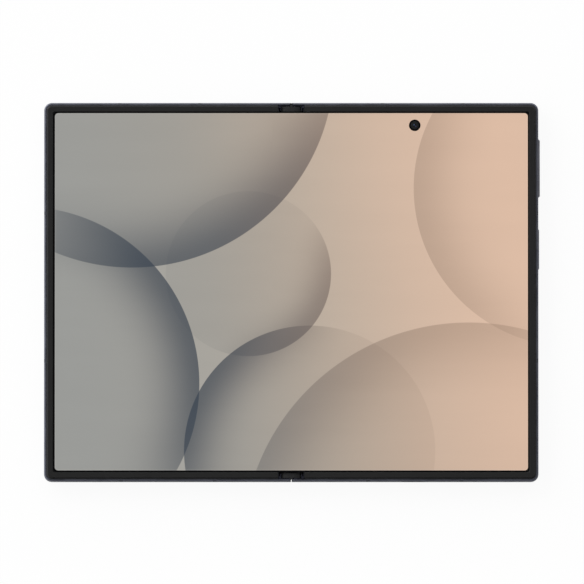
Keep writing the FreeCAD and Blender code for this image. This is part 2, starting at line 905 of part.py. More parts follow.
def key_switch(y, play):
    front = wall_x - play - key_flange - key_travel - fit_gap
    back = front - switch_button_height
    reach = switch_size / 2
    case = block(back - switch_depth, back, y - reach, y + reach, key_middle_height - reach, mid_plate_low)
    half_button = switch_button / 2
    button = block(back, front, y - half_button, y + half_button, key_middle_height - half_button,
                   key_middle_height + half_button)
    return case.fuse(button)


def key_switches():
    switches = [key_switch(volume_key_y + way * switch_spacing / 2, volume_key_play) for way in (1, -1)]
    return together(switches + [key_switch(power_key_y, power_key_play)])


# ---- rear cameras
def lens_places():
    middle = island_y + lens_shift
    return [middle + way * lens_spacing / 2 for way in (1, -1)]


def flash_y():
    return island_y - island_length / 2 + flash_from_end


def camera_island():
    # The raised body comes out through the cover, and its flange lies against the cover's inner face.
    island = island_pill(0, -island_rise, cover_thickness)
    face = edges_where(island, lambda p: near(p.z, -island_rise))
    flange = island_pill(island_flange, cover_thickness, cover_thickness + island_flange_thickness)
    island = island.makeChamfer(island_edge, face).fuse(flange)
    cuts = [upright(ring_bore, island_x, y, -far, far) for y in lens_places()]
    cuts.append(upright(flash_radius, island_x, flash_y(), -far, far))
    return island.cut(cuts).removeSplitter()


def camera_rings():
    rings = []
    for y in lens_places():
        ring = upright(ring_radius, island_x, y, -island_rise - ring_rise, -island_rise)
        rim = [e for e in edges_where(ring, lambda p: near(p.z, -island_rise - ring_rise))]
        ring = ring.makeChamfer(ring_chamfer, rim)
        rings.append(ring.cut(upright(ring_bore, island_x, y, -far, far)))
    return together(rings)


def camera_lenses():
    low = -island_rise - ring_rise + lens_recess
    return together([upright(ring_bore - fit_gap, island_x, y, low, low + lens_glass) for y in lens_places()])


def camera_modules():
    low = -island_rise - ring_rise + lens_recess + lens_glass
    modules = []
    for y in lens_places():
        barrel = upright(camera_barrel, island_x, y, low, mid_plate_low)
        bore = Part.makeCone(camera_mouth, camera_throat, camera_mouth_depth, Vector(island_x, y, low),
                             Vector(0, 0, 1))
        reach = camera_base / 2
        base = block(island_x - reach, island_x + reach, y - reach, y + reach,
                     mid_plate_low - camera_base_height, mid_plate_low)
        modules.append(union([barrel.cut(bore), base]))
    return together(modules)


def flash_window():
    return upright(flash_radius - fit_gap, island_x, flash_y(), -island_rise - fit_gap, cover_thickness)


# ---- inside the halves
def battery(side, from_bottom, board_low):
    # The battery fills the room between the bottom parts and the board above it.
    high_y = board_low - board_gap
    pack = block(inside_near_x, inside_far_x, -half_height + from_bottom, high_y, battery_low, mid_plate_low)
    upright_edges = [e for e in pack.Edges if near(e.Length, battery_height)]
    return to_side(pack.makeFillet(battery_round, upright_edges), side)


def shield_cans(x0, x1, y0, y1, columns, rows):
    top = mid_plate_low - board_thickness
    width = (x1 - x0 - 2 * shield_margin - (columns - 1) * shield_gap) / columns
    length = (y1 - y0 - 2 * shield_margin - (rows - 1) * shield_gap) / rows
    cans = []
    for column in range(columns):
        for row in range(rows):
            x = x0 + shield_margin + column * (width + shield_gap)
            y = y0 + shield_margin + row * (length + shield_gap)
            cans.append(block(x, x + width, y, y + length, top - shield_height, top))
    return cans


def left_sub_board():
    y1 = left_board_top
    y0 = y1 - left_board_length
    board = block(inside_near_x, inside_far_x, y0, y1, mid_plate_low - board_thickness, mid_plate_low)
    return to_side(union([board] + shield_cans(inside_near_x, inside_far_x, y0, y1, 2, 1)), -1)


def main_board():
    y1 = main_board_top
    y0 = y1 - main_board_length
    x1 = island_x - camera_base / 2 - board_to_camera_gap
    board = block(inside_near_x, x1, y0, y1, mid_plate_low - board_thickness, mid_plate_low)
    bay_x = camera_line_x - camera_bay_width / 2
    board = board.cut(block(bay_x, bay_x + camera_bay_width, y1 - camera_bay_length, far, 0, far))
    cans = shield_cans(inside_near_x, x1, y0, y1 - camera_bay_length, 2, 2)
    return union([board] + cans)


def magnets(side):
    shapes = [block(magnet_x - magnet_width / 2, magnet_x + magnet_width / 2, y - magnet_length / 2,
                    y + magnet_length / 2, mid_plate_low - magnet_height, mid_plate_low)
              for y in magnet_places]
    return to_side(together(shapes), side)


def speaker_box(side, way):
    y0, y1 = sorted((way * (wall_y - fit_gap), way * (wall_y - speaker_length)))
    reach = speaker_width / 2
    box = block(speaker_x - reach, speaker_x + reach, y0, y1, mid_plate_low - speaker_height, mid_plate_low)
    m0, m1 = sorted((way * far, way * (wall_y - speaker_mouth_depth)))
    mouth = block(speaker_x - reach + speaker_lip, speaker_x + reach - speaker_lip, m0, m1,
                  key_middle_height - speaker_mouth / 2, key_middle_height + speaker_mouth / 2)
    return to_side(box.cut(mouth), side)


def vibration_motor():
    return Part.makeCylinder(motor_radius, motor_length, Vector(motor_x, motor_y, mid_plate_low - motor_radius),
                             Vector(1, 0, 0))


# ---- charging socket and card tray
def usb_socket():
    back = -half_height + usb_depth
    shell = usb_outline(usb_shell, -half_height + usb_recess, back)
    return shell.cut(usb_outline(0, -far, back - usb_back_wall))


def usb_tongue():
    back = -half_height + usb_depth - usb_back_wall
    return block(usb_x - tongue_width / 2, usb_x + tongue_width / 2, back - tongue_length, back,
                 usb_middle_height - tongue_thickness / 2, usb_middle_height + tongue_thickness / 2)


def sim_tray():
    reach = tray_width / 2
    face = block(tray_x - reach, tray_x + reach, -half_height, -wall_y, tray_low,
                 tray_low + tray_face_height)
    blade = block(tray_x - reach, tray_x + reach, -wall_y, -wall_y + tray_length, tray_low,
                  tray_low + tray_thickness)
    window_low = -wall_y + tray_pin_margin
    window = block(tray_x - tray_card_width / 2, tray_x + tray_card_width / 2, window_low,
                   window_low + tray_card_length, 0, far)
    pin_hole = rod(tray_pin_radius, tray_x + reach - tray_pin_margin, tray_low + tray_face_height / 2, -far,
                   -wall_y + rim_wall)
    return union([face, blade]).cut([window, pin_hole])


def sim_cage():
    inner = tray_width / 2 + cage_gap
    outer = inner + cage_wall
    low = tray_low - cage_gap - cage_wall
    back = -wall_y + tray_length + tray_stop
    tube = block(tray_x - outer, tray_x + outer, -wall_y + fit_gap, back, low, mid_plate_low)
    hollow = block(tray_x - inner, tray_x + inner, -far, back - cage_wall, low + cage_wall,
                   tray_low + tray_face_height + cage_gap)
    return tube.cut(hollow)


os.makedirs("parts", exist_ok=True)

pieces = {
    "left_frame": left_frame(),
    "left_antenna_bands": antenna_bands(-1),
    "left_bezel": bezel(-1),
    "inner_display_left": display_layer(-1, panel_low, panel_high),
    "display_plate_left": display_layer(-1, mid_plate_high, panel_low),
    "cover_glass": cover(-1),
    "cover_display_panel": cover_display_panel(),
    "cover_camera": cover_camera(),
    "left_battery": battery(-1, left_battery_from_bottom, left_board_top - left_board_length),
    "left_sub_board": left_sub_board(),
    "earpiece_speaker": speaker_box(-1, 1),
    "left_magnets": magnets(-1),
    "left_hinge_arms": hinge_arms(-1),
    "left_hinge_screws": hinge_screws(-1),
    "right_frame": right_frame(),
    "right_antenna_bands": antenna_bands(1),
    "right_bezel": bezel(1),
    "inner_display_right": display_layer(1, panel_low, panel_high),
    "display_plate_right": display_layer(1, mid_plate_high, panel_low),
    "rear_cover": cover(1),
    "camera_island": camera_island(),
    "camera_rings": camera_rings(),
    "camera_lenses": camera_lenses(),
    "camera_modules": camera_modules(),
    "flash_window": flash_window(),
    "right_battery": battery(1, right_battery_from_bottom, main_board_top - main_board_length),
    "main_board": main_board(),
    "inner_camera": inner_camera(),
    "usb_c_socket": usb_socket(),
    "usb_c_tongue": usb_tongue(),
    "bottom_speaker": speaker_box(1, -1),
    "vibration_motor": vibration_motor(),
    "key_switches": key_switches(),
    "sim_cage": sim_cage(),
    "right_magnets": magnets(1),
    "right_hinge_arms": hinge_arms(1),
    "right_hinge_screws": hinge_screws(1),
    "hinge_cover": hinge_cover(),
    "hinge_bases": hinge_bases(),
    "hinge_pins": hinge_pins(),
    "friction_clips": friction_clips(),
    "hinge_end_caps": hinge_end_caps(),
    "inner_display_fold": fold_panel(),
    "display_plate_fold": fold_plate(),
    "idler_gears_left": idler_gears(-1),
    "idler_gears_right": idler_gears(1),
    "wing_plate_left": wing_plate(-1),
    "wing_plate_right": wing_plate(1),
    "volume_key": key(volume_key_y, volume_key_length, volume_key_proud, volume_key_play),
    "power_key": key(power_key_y, power_key_length, power_key_proud, power_key_play),
    "sim_tray": sim_tray(),
}

for name, shape in pieces.items():
    write(name, shape)
    print(name, len(shape.Solids), round(shape.Volume, 2), shape.isValid())
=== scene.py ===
import math

import bmesh
import bpy
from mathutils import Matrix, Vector


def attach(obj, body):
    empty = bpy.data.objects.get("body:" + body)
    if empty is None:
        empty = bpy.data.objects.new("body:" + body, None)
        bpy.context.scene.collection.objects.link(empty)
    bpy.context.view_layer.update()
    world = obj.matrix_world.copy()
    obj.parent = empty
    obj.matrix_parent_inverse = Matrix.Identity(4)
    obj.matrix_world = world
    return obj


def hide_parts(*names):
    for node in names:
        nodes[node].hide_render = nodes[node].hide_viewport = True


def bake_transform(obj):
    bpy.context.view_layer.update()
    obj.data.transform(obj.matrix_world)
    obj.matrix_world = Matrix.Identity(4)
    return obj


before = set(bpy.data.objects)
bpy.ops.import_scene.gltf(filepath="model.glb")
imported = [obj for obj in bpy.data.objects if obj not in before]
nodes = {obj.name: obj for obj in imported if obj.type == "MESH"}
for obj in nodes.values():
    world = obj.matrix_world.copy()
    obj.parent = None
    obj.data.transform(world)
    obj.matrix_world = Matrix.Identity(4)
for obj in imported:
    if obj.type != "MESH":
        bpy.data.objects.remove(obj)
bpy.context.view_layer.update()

print("stage: frame loaded,", len(nodes), "nodes")

mm = 0.001
body = {"halfWidth": 80.7, "halfHeight": 61.95}  # the open phone, in millimetres
noiseLow, noiseHigh = 0.3, 0.7  # most of a noise lies between these two


# colours
def screen(red, green, blue):
    # screen values from 0 to 255, as a shader colour
    shares = [value / 255 for value in (red, green, blue)]
    return tuple(s / 12.92 if s <= 0.04045 else ((s + 0.055) / 1.055) ** 2.4 for s in shares) + (1.0,)


def grey(level):
    return (level, level, level, 1.0)


def scaled(colour, factor):
    return tuple(min(channel * factor, 1.0) for channel in colour[:3]) + (1.0,)


# node tools
def feed(tree, target, value):
    # the value is a number, a colour or another node's output
    if isinstance(value, bpy.types.NodeSocket):
        tree.links.new(value, target)
    else:
        target.default_value = value


def calc(tree, operation, *values):
    node = tree.nodes.new("ShaderNodeMath")
    node.operation = operation
    for socket, value in zip(node.inputs, values):
        feed(tree, socket, value)
    return node.outputs[0]


def spread(tree, value, low, high, toLow=0.0, toHigh=1.0, smooth=True):
    # one range taken over into another, and held at its ends
    node = tree.nodes.new("ShaderNodeMapRange")
    node.interpolation_type = "SMOOTHSTEP" if smooth else "LINEAR"
    for socket, number in zip(node.inputs, (value, low, high, toLow, toHigh)):
        feed(tree, socket, number)
    return node.outputs[0]


def softStep(tree, value, place, soft, before=0.0, after=1.0):
    return spread(tree, value, place - soft, place + soft, before, after)


def fromNoise(tree, noise, low=0.0, high=1.0):
    return spread(tree, noise, noiseLow, noiseHigh, low, high)


def mixColours(tree, factor, first, second, mode="MIX"):
    node = tree.nodes.new("ShaderNodeMix")
    node.data_type = "RGBA"
    node.blend_type = mode
    for index, value in ((0, factor), (6, first), (7, second)):
        feed(tree, node.inputs[index], value)
    return node.outputs[2]


def timesColours(tree, first, second):
    return mixColours(tree, 1.0, first, second, "MULTIPLY")


def restPoint(tree, source):
    # the point in millimetres, in the frame at rest
    coordinates = tree.nodes.new("ShaderNodeTexCoord" if source == "object" else "ShaderNodeUVMap")
    scale = tree.nodes.new("ShaderNodeVectorMath")
    scale.operation = "MULTIPLY_ADD"
    if source == "object":
        tree.links.new(coordinates.outputs["Object"], scale.inputs[0])
        scale.inputs[1].default_value = (1 / mm, 1 / mm, 1 / mm)
    else:
        coordinates.uv_map = source
        tree.links.new(coordinates.outputs["UV"], scale.inputs[0])
        scale.inputs[1].default_value = (2 * body["halfWidth"], 2 * body["halfHeight"], 0)
        scale.inputs[2].default_value = (-body["halfWidth"], -body["halfHeight"], 0)
    return scale.outputs[0]


def parts(tree, point):
    node = tree.nodes.new("ShaderNodeSeparateXYZ")
    tree.links.new(point, node.inputs[0])
    return node.outputs


def stretched(tree, point, factors):
    node = tree.nodes.new("ShaderNodeVectorMath")
    node.operation = "MULTIPLY"
    tree.links.new(point, node.inputs[0])
    node.inputs[1].default_value = factors
    return node.outputs[0]


def cloud(tree, point, scale, detail=3.0, roughness=0.5):
    node = tree.nodes.new("ShaderNodeTexNoise")
    tree.links.new(point, node.inputs["Vector"])
    node.inputs["Scale"].default_value = scale
    node.inputs["Detail"].default_value = detail
    node.inputs["Roughness"].default_value = roughness
    return node.outputs["Fac"]


def smears(tree, point, scale):
    # wide marks, finer in their detail than a plain cloud
    return cloud(tree, point, scale, detail=4.0, roughness=0.6)


def cells(tree, point, scale):
    # how far the point lies from the middle of its cell
    node = tree.nodes.new("ShaderNodeTexVoronoi")
    tree.links.new(point, node.inputs["Vector"])
    node.inputs["Scale"].default_value = scale
    return node.outputs["Distance"]


def sumOfSquares(tree, a, b):
    return calc(tree, "ADD", calc(tree, "MULTIPLY", a, a), calc(tree, "MULTIPLY", b, b))


def distance(tree, point, middleX, middleY):
    # how far the point lies from an upright line
    x, y, _ = parts(tree, point)
    dx = calc(tree, "SUBTRACT", x, middleX)
    dy = calc(tree, "SUBTRACT", y, middleY)
    return calc(tree, "SQRT", sumOfSquares(tree, dx, dy))


def roundedEdge(tree, point, halfX, halfY, corner, middleX=0.0, middleY=0.0):
    # how far outside a rounded rectangle the point lies
    x, y, _ = parts(tree, point)
    awayX = calc(tree, "ABSOLUTE", calc(tree, "SUBTRACT", x, middleX))
    awayY = calc(tree, "ABSOLUTE", calc(tree, "SUBTRACT", y, middleY))
    overX = calc(tree, "SUBTRACT", awayX, halfX - corner)
    overY = calc(tree, "SUBTRACT", awayY, halfY - corner)
    outX = calc(tree, "MAXIMUM", overX, 0.0)
    outY = calc(tree, "MAXIMUM", overY, 0.0)
    outside = calc(tree, "SQRT", sumOfSquares(tree, outX, outY))
    inside = calc(tree, "MINIMUM", calc(tree, "MAXIMUM", overX, overY), 0.0)
    return calc(tree, "SUBTRACT", calc(tree, "ADD", outside, inside), corner)


def relief(tree, shader, height, depth):
    node = tree.nodes.new("ShaderNodeBump")
    node.inputs["Strength"].default_value = 1.0
    node.inputs["Distance"].default_value = depth * mm
    tree.links.new(height, node.inputs["Height"])
    tree.links.new(node.outputs[0], shader.inputs["Normal"])


def startFinish(name, **constants):
    material = bpy.data.materials.new(name)
    material.use_nodes = True
    tree = material.node_tree
    shader = tree.nodes["Principled BSDF"]
    for socket, value in constants.items():
        shader.inputs[socket.replace("_", " ")].default_value = value
    return material, tree, shader


def opened(material):
    return material.node_tree, material.node_tree.nodes["Principled BSDF"]


def setColour(tree, shader, colour):
    feed(tree, shader.inputs["Base Color"], colour)


def setRoughness(tree, shader, roughness):
    feed(tree, shader.inputs["Roughness"], roughness)


def overlay(tree, shader, share, tone):
    # another tone over a share of the colour that is already there
    under = shader.inputs["Base Color"].links[0].from_socket
    setColour(tree, shader, mixColours(tree, share, under, tone))


# finishes of metal: a fine bead-blasted grain, and larger cloudy changes of tone from handling
metalGrain = {"fineScale": 15.0, "fineDetail": 2.0, "fineDepth": 0.0022, "fineShare": 0.4,
              "cloudScale": 0.12, "cloudShare": 0.6, "toneSwing": 0.1, "roughSwing": 0.05}


def blastedMetal(name, colour, roughness, brushed=None, swing=1.0):
    material, tree, shader = startFinish(name, Metallic=1.0)
    grain = metalGrain
    point = restPoint(tree, "object")
    if brushed:
        point = stretched(tree, point, brushed)
    fine = cloud(tree, point, grain["fineScale"], grain["fineDetail"])
    wide = smears(tree, point, grain["cloudScale"])
    tone = grain["toneSwing"] * swing
    mixed = calc(tree, "ADD", calc(tree, "MULTIPLY", fine, grain["fineShare"]),
                 calc(tree, "MULTIPLY", wide, grain["cloudShare"]))
    toned = mixColours(tree, fromNoise(tree, mixed), scaled(colour, 1 - tone), scaled(colour, 1 + tone))
    setColour(tree, shader, toned)
    rough = fromNoise(tree, wide, roughness - grain["roughSwing"], roughness + grain["roughSwing"])
    setRoughness(tree, shader, rough)
    relief(tree, shader, fine, grain["fineDepth"])
    return material


# the walls inside the opening at each end of the hinge are darker than the frame's outside: painted shade
# in this recess
hingeMouthShade = {"reachX": 4.35, "softX": 0.1, "innerY": 61.3, "softY": 0.08, "tone": screen(74, 75, 88)}


def frameFinish(name, colour, roughness):
    material = blastedMetal(name, colour, roughness)
    tree, shader = opened(material)
    mouth = hingeMouthShade
    x, y, _ = parts(tree, restPoint(tree, "object"))
    awayX = calc(tree, "ABSOLUTE", x)
    awayY = calc(tree, "ABSOLUTE", y)
    inX = spread(tree, awayX, mouth["reachX"], mouth["reachX"] + mouth["softX"], 1.0, 0.0)
    inY = spread(tree, awayY, mouth["innerY"] - mouth["softY"], mouth["innerY"], 1.0, 0.0)
    # painted shade over the frame's tone inside the hinge opening
    overlay(tree, shader, calc(tree, "MULTIPLY", inX, inY), mouth["tone"])
    return material


# the keys: satin like the frame, with a cut edge above and below whose bright tone is a painted highlight
keyEdgeHighlight = {"middleZ": 4.5, "halfZ": 0.95, "depth": 0.16, "soft": 0.02, "tone": screen(198, 199, 208)}


def keyFinish(name, colour, roughness):
    material = blastedMetal(name, colour, roughness)
    tree, shader = opened(material)
    z = parts(tree, restPoint(tree, "object"))[2]
    away = calc(tree, "ABSOLUTE", calc(tree, "SUBTRACT", z, keyEdgeHighlight["middleZ"]))
    # painted highlight: a lighter band along the key's top and bottom edges
    bright = softStep(tree, away, keyEdgeHighlight["halfZ"] - keyEdgeHighlight["depth"], keyEdgeHighlight["soft"])
    overlay(tree, shader, bright, keyEdgeHighlight["tone"])
    return material


# finishes of plastic: fine pebbles in its face, and a faint cloud of tone
plasticGrain = {"pebbleScale": 5.0, "pebbleDetail": 3.0, "pebbleRoughness": 0.6, "pebbleDepth": 0.006,
                "pebbleRange": (0.25, 0.75), "cloudScale": 0.09, "toneSwing": 0.06, "roughSwing": 0.06}


def mouldedPlastic(name, colour, roughness, gloss=0.3, scale=1.0):
    material, tree, shader = startFinish(name, Specular_IOR_Level=gloss)
    grain = plasticGrain
    point = restPoint(tree, "object")
    pebbles = cloud(tree, point, grain["pebbleScale"] * scale, grain["pebbleDetail"],
                    grain["pebbleRoughness"])
    wide = fromNoise(tree, cloud(tree, point, grain["cloudScale"]))
    lower = scaled(colour, 1 - grain["toneSwing"])
    upper = scaled(colour, 1 + grain["toneSwing"])
    setColour(tree, shader, mixColours(tree, wide, lower, upper))
    rough = spread(tree, pebbles, *grain["pebbleRange"],
                   roughness - grain["roughSwing"], roughness + grain["roughSwing"])
    setRoughness(tree, shader, rough)
    relief(tree, shader, pebbles, grain["pebbleDepth"])
    return material


# the bezel: satin on top, smoother on its outer slope, where a deeper tone is painted shade
bezel = {"halfX": 79.9, "halfY": 61.15, "corner": 1.7, "slope": 0.48, "slopeSoft": 0.02,
         "tone": screen(22, 22, 22), "slopeShadeTone": screen(4, 4, 4), "roughness": 0.5, "slopeRoughness": 0.22,
         "shine": 0.28}


def bezelFinish(name):
    material = mouldedPlastic(name, bezel["tone"], bezel["roughness"], bezel["shine"])
    tree, shader = opened(material)
    edge = roundedEdge(tree, restPoint(tree, "object"), bezel["halfX"], bezel["halfY"], bezel["corner"])
    sloped = softStep(tree, edge, -bezel["slope"], bezel["slopeSoft"])
    # painted shade: a deeper tone over the outer slope
    overlay(tree, shader, sloped, bezel["slopeShadeTone"])
    rough = shader.inputs["Roughness"].links[0].from_socket
    smoother = calc(tree, "MULTIPLY", sloped, bezel["roughness"] - bezel["slopeRoughness"])
    setRoughness(tree, shader, calc(tree, "SUBTRACT", rough, smoother))
    return material


# the picture on the inner display: overlapping discs with a soft shadow inside one side of each
picture = {
    "tones": ((0.0, screen(162, 163, 160)), (0.33, screen(166, 163, 156)), (0.55, screen(188, 174, 159)),
              (0.75, screen(210, 184, 164)), (1.0, screen(228, 194, 170))),  # from the left to the right
    "toneSlopeX": 0.0064, "toneSlopeY": 0.0013,
    "coolShade": screen(60, 70, 82), "warmShade": screen(132, 108, 92), "coolUpTo": -30.0, "warmFrom": 55.0,
    "bodyTone": 0.14, "edgeSoft": 0.09, "fadePower": 1.6, "sideFrom": 0.15,
    "streakStretch": (0.02, 0.16, 1.0), "streakDark": 0.972, "streakLight": 1.028,
    # centre x, centre y, radius, depth of the shadow, its turn in degrees, its strength
    "discs": (
        (-52.0, 74.0, 66.0, 34.0, -60.0, 0.74),
        (58.0, -84.0, 74.0, 36.0, 125.0, 0.42),
        (-88.0, -30.0, 58.0, 30.0, 20.0, 0.80),
        (6.0, -52.0, 41.0, 30.0, 150.0, 0.78),
        (-14.0, 6.0, 27.0, 22.0, -35.0, 0.62),
        (92.0, 34.0, 52.0, 30.0, 190.0, 0.34),
    ),
}


def pictureGround(tree, x, y):
    slope = calc(tree, "ADD", calc(tree, "MULTIPLY", x, picture["toneSlopeX"]),
                 calc(tree, "MULTIPLY", y, picture["toneSlopeY"]))
    ramp = tree.nodes.new("ShaderNodeValToRGB")
    stops = ramp.color_ramp.elements
    ramp.color_ramp.interpolation = "B_SPLINE"
    stops.remove(stops[1])
    for place, tone in picture["tones"]:
        stop = stops[0] if place == 0.0 else stops.new(place)
        stop.color = tone
    tree.links.new(calc(tree, "ADD", slope, 0.5), ramp.inputs[0])
    return ramp.outputs[0]


def displayPicture(tree, point):
    x, y, _ = parts(tree, point)
    colour = pictureGround(tree, x, y)
    warm = spread(tree, x, picture["coolUpTo"], picture["warmFrom"])
    shade = mixColours(tree, warm, picture["coolShade"], picture["warmShade"])
    for centreX, centreY, radius, depth, turn, strength in picture["discs"]:
        dx = calc(tree, "SUBTRACT", x, centreX)
        dy = calc(tree, "SUBTRACT", y, centreY)
        inside = calc(tree, "SUBTRACT", radius, distance(tree, point, centreX, centreY))
        crisp = softStep(tree, inside, 0.0, picture["edgeSoft"])
        fade = spread(tree, inside, 0.0, depth, 1.0, 0.0)
        along = calc(tree, "ADD", calc(tree, "MULTIPLY", dx, math.cos(math.radians(turn)) / radius),
                     calc(tree, "MULTIPLY", dy, math.sin(math.radians(turn)) / radius))
        side = spread(tree, along, picture["sideFrom"], 1.0)
        shadow = calc(tree, "MULTIPLY", calc(tree, "POWER", fade, picture["fadePower"]), side)
        layer = spread(tree, shadow, 0.0, 1.0, picture["bodyTone"], 1.0, False)
        amount = calc(tree, "MULTIPLY", crisp, layer)
        colour = mixColours(tree, calc(tree, "MULTIPLY", amount, strength), colour, shade)
    # faint level streaks, as a soft-focus picture has
    streaks = cloud(tree, stretched(tree, point, picture["streakStretch"]), 1.0)
    streakTone = mixColours(tree, streaks, grey(picture["streakDark"]), grey(picture["streakLight"]))
    return timesColours(tree, colour, streakTone)


# the inner display: the lit area inside a thin pale line, then its black border
display = {"activeX": 77.23, "activeY": 58.48, "middleX": 0.04, "middleY": 0.09, "corner": 1.1,
           "litSoft": 0.05, "paleLine": 0.36, "paleSoft": 0.1, "paleShare": 0.06,
           "paleTone": (0.9, 0.86, 0.8, 1.0), "borderTone": screen(10, 10, 11),
           "outerTone": screen(33, 33, 33), "outerFrom": 0.75, "outerSoft": 0.05,
           "glow": 0.62, "shine": 0.12, "smearScale": 0.05, "roughness": (0.07, 0.13)}


def displayGlass(name, source):
    material, tree, shader = startFinish(name, Specular_IOR_Level=display["shine"], IOR=1.5,
                                         Emission_Strength=1.0)
    point = restPoint(tree, source)
    edge = roundedEdge(tree, point, display["activeX"], display["activeY"], display["corner"],
                       display["middleX"], display["middleY"])
    lit = softStep(tree, edge, 0.0, display["litSoft"], 1.0, 0.0)
    line = softStep(tree, edge, -display["paleLine"], display["paleSoft"])
    pale = calc(tree, "MULTIPLY", line, display["paleShare"])
    colour = mixColours(tree, pale, displayPicture(tree, point), display["paleTone"])
    outer = softStep(tree, edge, display["outerFrom"], display["outerSoft"])
    border = mixColours(tree, outer, display["borderTone"], display["outerTone"])
    dull = timesColours(tree, colour, grey(1 - display["glow"]))
    setColour(tree, shader, mixColours(tree, lit, border, dull))
    light = timesColours(tree, colour, grey(display["glow"]))
    feed(tree, shader.inputs["Emission Color"], mixColours(tree, lit, grey(0.0), light))
    smear = smears(tree, point, display["smearScale"])
    setRoughness(tree, shader, fromNoise(tree, smear, *display["roughness"]))
    return material


# the outer display, off: black glass, with the panel's own edge and its camera just to be seen
coverDisplay = {"middleX": -40.4, "halfX": 38.0, "halfY": 59.4, "corner": 1.4, "edgeSoft": 0.08,
                "panelTones": (screen(20, 21, 26), screen(26, 27, 33)), "borderTone": screen(4, 4, 5),
                "cameraX": -40.35, "cameraY": 55.5, "cameraSoft": 0.05,
                "cameraRings": ((1.9, screen(3, 3, 4)), (1.3, screen(22, 27, 44))),
                "shine": 0.22, "sheenScale": 0.03, "sheenRange": (0.35, 0.65), "smearScale": 0.06,
                "roughness": (0.03, 0.10)}


def coverGlassFinish(name):
    cover = coverDisplay
    material, tree, shader = startFinish(name, Specular_IOR_Level=cover["shine"], IOR=1.52)
    point = restPoint(tree, "object")
    sheen = spread(tree, cloud(tree, point, cover["sheenScale"]), *cover["sheenRange"])
    panel = mixColours(tree, sheen, *cover["panelTones"])
    edge = roundedEdge(tree, point, cover["halfX"], cover["halfY"], cover["corner"], cover["middleX"])
    colour = mixColours(tree, softStep(tree, edge, 0.0, cover["edgeSoft"]), panel, cover["borderTone"])
    away = distance(tree, point, cover["cameraX"], cover["cameraY"])
    for radius, tone in cover["cameraRings"]:
        inside = softStep(tree, away, radius, cover["cameraSoft"], 1.0, 0.0)
        colour = mixColours(tree, inside, colour, tone)
    setColour(tree, shader, colour)
    smear = smears(tree, point, cover["smearScale"])
    setRoughness(tree, shader, fromNoise(tree, smear, *cover["roughness"]))
    return material


# the rear glass: satin over a dark coat, with tiny bright flakes under its etched face
rearGlass = {"shine": 0.4, "coat": 0.2, "coatRoughness": 0.25, "flakeScale": 7.0, "flakeSize": 0.22,
             "flakeShare": 0.5, "flakeLight": 1.9, "cloudScale": 0.05, "cloudLight": 1.08,
             "roughness": (0.35, 0.39), "grainScale": 14.0, "grainDetail": 2.0, "grainDepth": 0.003}


def etchedGlass(name, colour):
    glass = rearGlass
    material, tree, shader = startFinish(name, Specular_IOR_Level=glass["shine"], IOR=1.5,
                                         Coat_Weight=glass["coat"], Coat_Roughness=glass["coatRoughness"])
    point = restPoint(tree, "object")
    nearFlake = spread(tree, cells(tree, point, glass["flakeScale"]), 0.0, glass["flakeSize"], 1.0, 0.0)
    flakes = calc(tree, "MULTIPLY", nearFlake, glass["flakeShare"])
    wide = smears(tree, point, glass["cloudScale"])
    tone = mixColours(tree, fromNoise(tree, wide), colour, scaled(colour, glass["cloudLight"]))
    setColour(tree, shader, mixColours(tree, flakes, tone, scaled(colour, glass["flakeLight"])))
    feed(tree, shader.inputs["Metallic"], flakes)
    setRoughness(tree, shader, fromNoise(tree, wide, *glass["roughness"]))
    grain = cloud(tree, point, glass["grainScale"], glass["grainDetail"])
    relief(tree, shader, grain, glass["grainDepth"])
    return material


# the rear cameras and their flash, and the glass over them: clear, with a black printed ring
rearCamera = {"x": 66.2, "y": 38.9, "spacing": 17.4, "flashY": 21.6, "clearRadius": 3.7, "printSoft": 0.04,
              "clearTone": (0.86, 0.9, 0.95, 1.0), "printTones": (screen(6, 6, 7), screen(12, 12, 14)),
              "printScale": 0.8}


def lensGlassFinish(name):
    # the low IOR stands for a coat against glare
    material, tree, shader = startFinish(name, IOR=1.13, Roughness=0.02)
    point = restPoint(tree, "object")
    half = rearCamera["spacing"] / 2
    away = calc(tree, "MINIMUM", distance(tree, point, rearCamera["x"], rearCamera["y"] - half),
                distance(tree, point, rearCamera["x"], rearCamera["y"] + half))
    printed = softStep(tree, away, rearCamera["clearRadius"], rearCamera["printSoft"])
    ink = mixColours(tree, cloud(tree, point, rearCamera["printScale"]), *rearCamera["printTones"])
    setColour(tree, shader, mixColours(tree, printed, rearCamera["clearTone"], ink))
    feed(tree, shader.inputs["Transmission Weight"], calc(tree, "SUBTRACT", 1.0, printed))
    return material


# the flash: rings moulded in its face spread the light
flashWindow = {"outerTone": screen(214, 208, 190), "innerTone": screen(236, 208, 122), "innerRadius": 0.9,
               "ringTurns": 20.0, "ringDepth": 0.03, "clear": 0.35}


def flashLens(name):
    material, tree, shader = startFinish(name, Specular_IOR_Level=0.5, Roughness=0.18, IOR=1.49,
                                         Transmission_Weight=flashWindow["clear"])
    away = distance(tree, restPoint(tree, "object"), rearCamera["x"], rearCamera["flashY"])
    inner = spread(tree, away, 0.0, flashWindow["innerRadius"], 1.0, 0.0)
    setColour(tree, shader, mixColours(tree, inner, flashWindow["outerTone"], flashWindow["innerTone"]))
    rings = calc(tree, "SINE", calc(tree, "MULTIPLY", away, flashWindow["ringTurns"]))
    relief(tree, shader, rings, flashWindow["ringDepth"])
    return material


# the boards: green mask with paler lanes, and steel cans, which stand lower than the board itself
board = {"laneScale": 0.6, "laneWidth": 0.03, "laneTone": screen(38, 98, 70),
         "maskTones": (screen(20, 66, 48), screen(24, 76, 56)),
         "canTop": 5.04, "canSoft": 0.02, "canScale": 0.5,
         "canTones": (screen(150, 150, 148), screen(176, 176, 172)),
         "shine": 0.45, "roughScale": 1.2, "roughness": (0.38, 0.5)}


